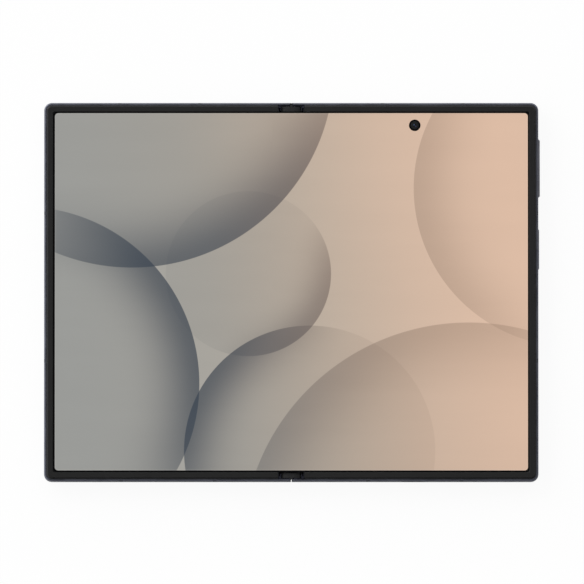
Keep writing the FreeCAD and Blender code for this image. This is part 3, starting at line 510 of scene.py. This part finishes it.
def circuitBoard(name):
    material, tree, shader = startFinish(name, Specular_IOR_Level=board["shine"])
    point = restPoint(tree, "object")
    lanes = tree.nodes.new("ShaderNodeTexBrick")
    tree.links.new(point, lanes.inputs["Vector"])
    lanes.inputs["Scale"].default_value = board["laneScale"]
    lanes.inputs["Color1"].default_value = board["maskTones"][0]
    lanes.inputs["Color2"].default_value = board["maskTones"][1]
    lanes.inputs["Mortar"].default_value = board["laneTone"]
    lanes.inputs["Mortar Size"].default_value = board["laneWidth"]
    z = parts(tree, point)[2]
    can = softStep(tree, z, board["canTop"], board["canSoft"], 1.0, 0.0)
    steel = mixColours(tree, cloud(tree, point, board["canScale"]), *board["canTones"])
    setColour(tree, shader, mixColours(tree, can, lanes.outputs["Color"], steel))
    feed(tree, shader.inputs["Metallic"], can)
    rough = cloud(tree, point, board["roughScale"])
    setRoughness(tree, shader, fromNoise(tree, rough, *board["roughness"]))
    return material


# the batteries' film, with long soft creases, whose hollows are painted darker as painted shade
batteryWrap = {"stretch": (0.25, 0.06, 0.3), "detail": 5.0, "noiseRoughness": 0.65, "creaseDepth": 0.05,
               "tones": (screen(46, 47, 50), screen(66, 67, 70)), "roughness": (0.3, 0.5)}


def batteryFilm(name):
    material, tree, shader = startFinish(name, Specular_IOR_Level=0.5)
    wrap = batteryWrap
    point = stretched(tree, restPoint(tree, "object"), wrap["stretch"])
    creases = cloud(tree, point, 1.0, wrap["detail"], wrap["noiseRoughness"])
    # painted shade: the tone follows the creases, darker where they lie low
    setColour(tree, shader, mixColours(tree, creases, *wrap["tones"]))
    setRoughness(tree, shader, fromNoise(tree, creases, *wrap["roughness"]))
    relief(tree, shader, creases, wrap["creaseDepth"])
    return material


# which way each metal is brushed: the higher the number, the finer the grain that way
brushing = {"ring": (1.0, 1.0, 6.0), "spine": (4.0, 0.12, 4.0), "steel": (1.0, 0.2, 1.0),
            "gear": (3.0, 0.3, 3.0), "plate": (0.2, 3.0, 1.0), "socket": (1.0, 0.3, 1.0)}
# each has its material's name, tone and roughness, and a plastic may add its gloss and its pebbles' scale
finishes = {
    "frame": frameFinish("anodisedFrame", screen(98, 100, 110), 0.36),
    "band": mouldedPlastic("antennaPlastic", screen(58, 60, 68), 0.5, 0.3),
    "bezel": bezelFinish("bezelPlastic"),
    "display": displayGlass("litDisplay", "object"),
    "displayFold": displayGlass("litDisplayFold", "flatPlan"),
    "cover": coverGlassFinish("coverGlassBlack"),
    "rear": etchedGlass("rearGlassEtched", screen(58, 61, 70)),
    "island": blastedMetal("islandMetal", screen(92, 94, 103), 0.32),
    "ring": blastedMetal("ringMetal", screen(128, 130, 138), 0.2, brushing["ring"]),
    "lens": lensGlassFinish("lensGlass"),
    "cameraBlack": mouldedPlastic("cameraBlack", screen(14, 14, 15), 0.4, 0.3, 2.0),
    "flash": flashLens("flashLens"),
    "spine": blastedMetal("spineMetal", screen(98, 100, 110), 0.3, brushing["spine"]),
    "cap": mouldedPlastic("capBlack", screen(33, 33, 34), 0.6, 0.2),
    "steel": blastedMetal("hingeSteel", screen(168, 168, 170), 0.28, brushing["steel"]),
    "gear": blastedMetal("gearSteel", screen(152, 150, 146), 0.3, brushing["gear"]),
    "backing": blastedMetal("backingSteel", screen(132, 132, 134), 0.34, brushing["plate"]),
    "wing": blastedMetal("wingSteel", screen(50, 51, 54), 0.42, brushing["plate"]),
    "screw": blastedMetal("screwSteel", screen(92, 92, 96), 0.35),
    "key": keyFinish("keyMetal", screen(106, 108, 118), 0.34),
    "tray": blastedMetal("trayMetal", screen(102, 104, 114), 0.36),
    "socket": blastedMetal("socketSteel", screen(176, 176, 176), 0.25, brushing["socket"]),
    "tongue": mouldedPlastic("tonguePlastic", screen(22, 22, 24), 0.45),
    "speaker": mouldedPlastic("speakerPlastic", screen(26, 26, 28), 0.5),
    "panelBack": mouldedPlastic("panelBackFilm", screen(34, 35, 38), 0.35, 0.5, 0.4),
    "magnet": blastedMetal("magnetNickel", screen(180, 178, 172), 0.22),
    "battery": batteryFilm("batteryFilm"),
    "board": circuitBoard("boardMask"),
}
finishOf = {
    "frame": "left_frame right_frame", "band": "left_antenna_bands right_antenna_bands",
    "bezel": "left_bezel right_bezel", "display": "inner_display_left inner_display_right",
    "backing": "display_plate_left display_plate_right", "wing": "wing_plate_left wing_plate_right",
    "cover": "cover_glass", "rear": "rear_cover", "panelBack": "cover_display_panel",
    "island": "camera_island", "ring": "camera_rings", "lens": "camera_lenses", "flash": "flash_window",
    "cameraBlack": "camera_modules inner_camera cover_camera", "battery": "left_battery right_battery",
    "board": "left_sub_board main_board", "speaker": "earpiece_speaker bottom_speaker",
    "magnet": "left_magnets right_magnets", "spine": "hinge_cover", "cap": "hinge_end_caps",
    "steel": "hinge_bases hinge_pins friction_clips left_hinge_arms right_hinge_arms",
    "gear": "idler_gears_left idler_gears_right", "screw": "left_hinge_screws right_hinge_screws",
    "socket": "usb_c_socket key_switches vibration_motor sim_cage", "tongue": "usb_c_tongue",
    "key": "volume_key power_key", "tray": "sim_tray",
}
print("stage: finishes")


def wear(piece, finish):
    piece.data.materials.clear()
    piece.data.materials.append(finishes[finish])


for finish, names in finishOf.items():
    for name in names.split():
        wear(nodes[name], finish)
print("stage: nodes dressed")


# new pieces
def makePiece(name, mesh, finish, smooth=False):
    data = bpy.data.meshes.new(name)
    mesh.to_mesh(data)
    mesh.free()
    piece = bpy.data.objects.new(name, data)
    bpy.context.scene.collection.objects.link(piece)
    wear(piece, finish)
    for face in data.polygons:
        face.use_smooth = smooth
    return piece


def slab(low, high):
    # a block between two of its corners, in millimetres
    mesh = bmesh.new()
    bmesh.ops.create_cube(mesh, size=1.0)
    size = [b - a for a, b in zip(low, high)]
    middle = [(a + b) / 2 for a, b in zip(low, high)]
    bmesh.ops.scale(mesh, vec=size, verts=mesh.verts)
    bmesh.ops.translate(mesh, vec=middle, verts=mesh.verts)
    bmesh.ops.scale(mesh, vec=(mm, mm, mm), verts=mesh.verts)
    return mesh


def turned(profile, x, y, steps=48):
    # a closed shape of revolution: its (radius, height) points end on the axis, or close on themselves
    mesh = bmesh.new()
    corners = [mesh.verts.new((radius * mm, 0, height * mm)) for radius, height in profile]
    edges = [mesh.edges.new(pair) for pair in zip(corners, corners[1:])]
    bmesh.ops.spin(mesh, geom=corners + edges, cent=(0, 0, 0), axis=(0, 0, 1), dvec=(0, 0, 0),
                   angle=2 * math.pi, steps=steps, use_merge=True)
    bmesh.ops.remove_doubles(mesh, verts=mesh.verts, dist=1e-7)
    bmesh.ops.translate(mesh, vec=(x * mm, y * mm, 0), verts=mesh.verts)
    bmesh.ops.recalc_face_normals(mesh, faces=mesh.faces)
    return mesh


def lensProfile(lens):
    # a flat back and a domed front, from the axis out and in again
    steps = lens["domeSteps"]
    turns = [math.pi / 2 * n / steps for n in range(steps)]
    rise = lens["front"] - lens["rim"]
    dome = [(lens["radius"] * math.cos(turn), lens["rim"] + rise * math.sin(turn)) for turn in turns]
    return [(0, lens["back"]), (lens["radius"], lens["back"])] + dome + [(0, lens["front"])]


# the middle of the display and its slotted backing, as flat strips cut into segments across the fold
fold = {"reach": 6.2, "straightFrom": 5.5, "end": 59.03, "segments": 20,
        "backingLow": 6.1, "displayLow": 6.25, "displayHigh": 6.8}
lattice = {"slotLength": 14.7, "slotPitch": 1.1, "bridge": 0.42, "slotTone": grey(0.02), "roughness": 0.34,
           "steelTones": (screen(126, 126, 128), screen(140, 140, 142)),
           "grainStretch": (0.2, 3.0, 1.0), "grainScale": 9.0, "grainDetail": 2.0}


def foldStrip(name, side, low, high, finish, standsFor):
    outer = side * fold["reach"]
    mesh = slab((min(0.0, outer), -fold["end"], low), (max(0.0, outer), fold["end"], high))
    across = [e for e in mesh.edges if abs(e.verts[0].co.x - e.verts[1].co.x) > 1e-6]
    bmesh.ops.subdivide_edges(mesh, edges=across, cuts=fold["segments"] - 1, use_grid_fill=True)
    plan = mesh.loops.layers.uv.new("flatPlan")
    width, height = 2 * body["halfWidth"], 2 * body["halfHeight"]
    for face in mesh.faces:
        for loop in face.loops:
            place = loop.vert.co / mm
            loop[plan].uv = (place.x / width + 0.5, place.y / height + 0.5)
    piece = makePiece(name, mesh, finish)
    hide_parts(standsFor)
    if side < 0:
        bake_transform(piece)
    else:
        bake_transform(piece)


def latticeSteel(name):
    # the backing is etched through in rows of slots where it bends
    material, tree, shader = startFinish(name, Metallic=1.0, Roughness=lattice["roughness"])
    point = restPoint(tree, "flatPlan")
    turn = tree.nodes.new("ShaderNodeVectorRotate")
    turn.rotation_type = "Z_AXIS"
    turn.inputs["Angle"].default_value = math.pi / 2
    tree.links.new(point, turn.inputs["Vector"])
    slots = tree.nodes.new("ShaderNodeTexBrick")
    tree.links.new(turn.outputs[0], slots.inputs["Vector"])
    slots.inputs["Scale"].default_value = 1.0
    slots.inputs["Brick Width"].default_value = lattice["slotLength"]
    slots.inputs["Row Height"].default_value = lattice["slotPitch"]
    slots.inputs["Mortar Size"].default_value = lattice["bridge"]
    slots.inputs["Color1"].default_value = lattice["slotTone"]
    slots.inputs["Color2"].default_value = lattice["slotTone"]
    slots.inputs["Mortar"].default_value = grey(1.0)
    brushed = stretched(tree, point, lattice["grainStretch"])
    grain = cloud(tree, brushed, lattice["grainScale"], lattice["grainDetail"])
    steel = mixColours(tree, grain, *lattice["steelTones"])
    setColour(tree, shader, timesColours(tree, steel, slots.outputs["Color"]))
    return material


finishes["backingFold"] = latticeSteel("backingLattice")
for side, word in ((-1, "Left"), (1, "Right")):
    foldStrip("displayFold" + word, side, fold["displayLow"], fold["displayHigh"], "displayFold",
              "inner_display_fold")
    foldStrip("backingFold" + word, side, fold["backingLow"], fold["displayLow"], "backingFold",
              "display_plate_fold")
print("stage: folding strips")

# painted reflections on a lens, as soft spots, coloured and darker: place and radius as shares of the lens,
# and tone
holePaintedReflections = ((-0.17, 0.15, 0.30, screen(57, 67, 90)), (0.26, -0.26, 0.20, screen(58, 60, 96)),
             (0.23, 0.25, 0.17, screen(14, 13, 11)), (-0.25, -0.23, 0.17, screen(14, 14, 12)))
rearPaintedReflections = ((0.0, 0.0, 0.75, screen(24, 30, 50)), (0.30, -0.36, 0.42, screen(70, 56, 88)))
lensCoatAndReflections = {"spotCore": 0.3, "rimFrom": 0.94, "rimTone": screen(10, 10, 11), "roughness": 0.1,
            "coatShare": 0.4, "coatRoughness": 0.03}


def lensWithPaintedReflections(name, x, y, lens, paintedReflections):
    radius, shine = lens["radius"], lens["shine"]
    material, tree, shader = startFinish(name, Specular_IOR_Level=shine, Roughness=lensCoatAndReflections["roughness"],
                                         IOR=1.5, Coat_Weight=lensCoatAndReflections["coatShare"] * shine,
                                         Coat_Roughness=lensCoatAndReflections["coatRoughness"])
    point = restPoint(tree, "object")
    colour = lens["tone"]
    # each spot is a painted reflection laid over the lens's own tone
    for shareX, shareY, size, reflectionTone in paintedReflections:
        away = distance(tree, point, x + shareX * radius, y + shareY * radius)
        near = spread(tree, away, lensCoatAndReflections["spotCore"] * size * radius, size * radius, 1.0, 0.0)
        colour = mixColours(tree, near, colour, reflectionTone)
    rim = spread(tree, distance(tree, point, x, y), lensCoatAndReflections["rimFrom"] * radius, radius)
    setColour(tree, shader, mixColours(tree, rim, colour, lensCoatAndReflections["rimTone"]))
    return material


# the camera under the hole in the inner display: a domed lens with painted reflections, in a black washer
# that lies on its barrel
holeCamera = {"x": 40.35, "y": 54.6, "washerInner": 1.34, "washerOuter": 1.88, "washerLow": 6.7,
              "washerHigh": 6.72, "radius": 1.32, "back": 6.6, "rim": 6.62, "front": 6.7, "domeSteps": 6,
              "shine": 0.2, "tone": screen(32, 32, 32)}


def innerCamera():
    hole = holeCamera
    finishes["holeWasher"] = mouldedPlastic("holeWasherBlack", screen(8, 8, 9), 0.7, 0.02, 3.0)
    inner, outer = hole["washerInner"], hole["washerOuter"]
    low, high = hole["washerLow"], hole["washerHigh"]
    profile = [(inner, low), (outer, low), (outer, high), (inner, high), (inner, low)]
    washer = turned(profile, hole["x"], hole["y"])
    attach(makePiece("holeCameraRing", washer, "holeWasher"), "right_half")
    finishes["holeLens"] = lensWithPaintedReflections("holeLensGlass", hole["x"], hole["y"], hole, holePaintedReflections)
    lens = turned(lensProfile(hole), hole["x"], hole["y"])
    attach(makePiece("holeCameraLens", lens, "holeLens", True), "right_half")


innerCamera()

# inside each rear camera: a stepped black cone, and a coated lens at its end, with painted reflections
rearLens = {"radius": 2.05, "front": 1.36, "rim": 1.86, "back": 2.1, "domeSteps": 8, "shine": 0.08,
            "tone": screen(31, 31, 34)}
lensCone = {"front": 0.96, "mouth": 3.6, "firstStep": 1.08, "steps": 4, "stepIn": 0.38, "stepBack": 0.16,
            "back": 1.9, "backRadius": 2.8, "rim": 3.72, "rimBack": 0.99}


def conePoints():
    cone = lensCone
    points = [(cone["mouth"], cone["front"])]
    for n in range(cone["steps"]):
        radius = cone["mouth"] - cone["stepIn"] * n
        height = cone["firstStep"] + cone["stepBack"] * n
        points += [(radius, height), (radius - cone["stepIn"], height)]
    points += [(points[-1][0], cone["back"]), (cone["backRadius"], cone["back"]),
               (cone["rim"], cone["rimBack"]), (cone["rim"], cone["front"]), points[0]]
    return points


def rearLenses():
    finishes["lensStep"] = mouldedPlastic("lensStepBlack", screen(14, 14, 15), 0.45, 0.04, 2.0)
    x = rearCamera["x"]
    for word, way in (("Upper", 1), ("Lower", -1)):
        y = rearCamera["y"] + way * rearCamera["spacing"] / 2
        finish = "rearLens" + word
        finishes[finish] = lensWithPaintedReflections("coatedLens" + word, x, y, rearLens, rearPaintedReflections)
        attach(makePiece("lensCone" + word, turned(conePoints(), x, y), "lensStep"), "right_half")
        lens = turned(lensProfile(rearLens), x, y)
        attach(makePiece("cameraLens" + word, lens, finish, True), "right_half")


rearLenses()
print("stage: cameras")

# small pieces in the openings of the edges: the contacts of the socket's tongue
usb = {"x": 40.35, "middle": 4.35, "tongueEnd": -59.8, "count": 12, "pitch": 0.5,
       "contact": (0.26, 3.2, 0.04), "contactIn": 2.2, "contactRise": 0.36}


def usbContacts():
    finishes["contact"] = blastedMetal("contactGold", screen(214, 176, 98), 0.25, swing=0.5)
    mesh = bmesh.new()
    for n in range(usb["count"]):
        x = usb["x"] + (n - (usb["count"] - 1) / 2) * usb["pitch"]
        for way in (1, -1):
            place = (x, usb["tongueEnd"] + usb["contactIn"], usb["middle"] + way * usb["contactRise"])
            made = bmesh.ops.create_cube(mesh, size=1.0)["verts"]
            bmesh.ops.scale(mesh, vec=usb["contact"], verts=made)
            bmesh.ops.translate(mesh, vec=place, verts=made)
    bmesh.ops.scale(mesh, vec=(mm, mm, mm), verts=mesh.verts)
    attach(makePiece("usbContacts", mesh, "contact"), "right_half")


usbContacts()

# the cloth behind the speaker slots, by its lowest and highest corners
cloth = {"bottomLow": (11.2, -60.9, 3.8), "bottomHigh": (20.8, -60.75, 5.2),
         "topLow": (-20.4, 60.75, 3.95), "topHigh": (-11.6, 60.9, 5.05),
         "cellScale": 5.5, "holeLow": 0.15, "holeHigh": 0.4, "tones": (screen(6, 6, 7), screen(46, 46, 50)),
         "metallic": 0.6, "roughness": 0.5, "depth": 0.05}


def speakerMeshFinish(name):
    material, tree, shader = startFinish(name, Metallic=cloth["metallic"], Roughness=cloth["roughness"])
    holes = cells(tree, restPoint(tree, "object"), cloth["cellScale"])
    thread = spread(tree, holes, cloth["holeLow"], cloth["holeHigh"])
    setColour(tree, shader, mixColours(tree, thread, *cloth["tones"]))
    relief(tree, shader, holes, cloth["depth"])
    return material


def speakerCloth():
    finishes["speakerMesh"] = speakerMeshFinish("speakerMesh")
    bottom = slab(cloth["bottomLow"], cloth["bottomHigh"])
    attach(makePiece("bottomSpeakerMesh", bottom, "speakerMesh"), "right_half")
    top = slab(cloth["topLow"], cloth["topHigh"])
    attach(makePiece("earpieceMesh", top, "speakerMesh"), "left_half")


speakerCloth()
print("stage: openings")

# floor, light and camera
stage = {"floorSize": 6.0, "floorDrop": 0.03, "floorTone": 0.92, "floorSwing": 0.02, "cloudScale": 0.01,
         "roughness": 0.9, "shine": 0.1, "ownWhite": 0.93}
sky = {"bright": 1.7, "dim": 0.3, "overhead": 0.10, "overheadFrom": 0.80, "overheadTo": 0.95}
keyLamp = {"place": (-1.3, 1.17, 0.75), "size": 2.0, "power": 22.0}  # metres and watts
# the camera aims at a point near the display's middle, and a pixel there is this many millimetres wide
shot = {"aim": (0.25, 0.14, 4.8), "pixel": 0.3266, "frame": 584, "tilt": 4.2, "lens": 1650.0,
        "sensor": 36.0, "clipEnd": 100}


def seenWhite(tree, surface, share):
    # to the eye, straight or through glass, the floor is nearly white, so that little shade is left on it
    path = tree.nodes.new("ShaderNodeLightPath")
    seen = calc(tree, "MAXIMUM", path.outputs["Is Camera Ray"], path.outputs["Is Transmission Ray"])
    glow = tree.nodes.new("ShaderNodeEmission")
    glow.inputs["Color"].default_value = grey(1.0)
    mixer = tree.nodes.new("ShaderNodeMixShader")
    tree.links.new(calc(tree, "MULTIPLY", seen, share), mixer.inputs[0])
    tree.links.new(surface, mixer.inputs[1])
    tree.links.new(glow.outputs[0], mixer.inputs[2])
    return mixer.outputs[0]


def paleFloor():
    mesh = bmesh.new()
    bmesh.ops.create_grid(mesh, x_segments=1, y_segments=1, size=stage["floorSize"] / 2)
    bmesh.ops.translate(mesh, vec=(0, 0, -stage["floorDrop"] * mm), verts=mesh.verts)
    material, tree, shader = startFinish("paleFloor", Roughness=stage["roughness"],
                                         Specular_IOR_Level=stage["shine"])
    patches = cloud(tree, restPoint(tree, "object"), stage["cloudScale"])
    lower, upper = grey(stage["floorTone"]), grey(stage["floorTone"] + stage["floorSwing"])
    setColour(tree, shader, mixColours(tree, patches, lower, upper))
    output = tree.nodes["Material Output"]
    tree.links.new(seenWhite(tree, shader.outputs[0], stage["ownWhite"]), output.inputs[0])
    finishes["floor"] = material
    piece = makePiece("studioFloor", mesh, "floor")


def studioSky():
    world = bpy.data.worlds.new("studioSky")
    bpy.context.scene.world = world
    world.use_nodes = True
    tree = world.node_tree
    background = tree.nodes["Background"]
    coordinates = tree.nodes.new("ShaderNodeTexCoord")
    x, y, z = parts(tree, coordinates.outputs["Generated"])
    # brighter towards the upper left, and dim straight overhead, so that level glass and metal stay dark
    across = calc(tree, "SUBTRACT", y, x)
    around = spread(tree, across, -1.0, 1.0, sky["dim"], sky["bright"])
    light = spread(tree, z, sky["overheadFrom"], sky["overheadTo"], around, sky["overhead"])
    path = tree.nodes.new("ShaderNodeLightPath")
    background.inputs["Color"].default_value = grey(1.0)
    level = calc(tree, "MAXIMUM", light, path.outputs["Is Camera Ray"])
    tree.links.new(level, background.inputs["Strength"])


def softLamp(name, place, size, power):
    data = bpy.data.lights.new(name, "AREA")
    data.shape = "DISK"
    data.size = size
    data.energy = power
    lamp = bpy.data.objects.new(name, data)
    lamp.location = place
    lamp.rotation_euler = (-Vector(place)).to_track_quat("-Z", "Y").to_euler()
    bpy.context.scene.collection.objects.link(lamp)


def shotCamera():
    data = bpy.data.cameras.new("shotCamera")
    data.sensor_width = shot["sensor"]
    data.lens = shot["lens"]
    data.clip_end = shot["clipEnd"]
    halfAngle = math.atan(shot["sensor"] / 2 / shot["lens"])
    back = shot["pixel"] * mm * shot["frame"] / 2 / math.tan(halfAngle)
    tilt = math.radians(shot["tilt"])
    camera = bpy.data.objects.new("shotCamera", data)
    camera.location = Vector(shot["aim"]) * mm + Vector((0, -math.sin(tilt), math.cos(tilt))) * back
    camera.rotation_euler = (tilt, 0, 0)
    bpy.context.scene.collection.objects.link(camera)
    bpy.context.scene.camera = camera


paleFloor()
studioSky()
softLamp("keyLamp", keyLamp["place"], keyLamp["size"], keyLamp["power"])
shotCamera()
bpy.context.scene.view_settings.view_transform = "Standard"
print("stage: floor, light and camera")
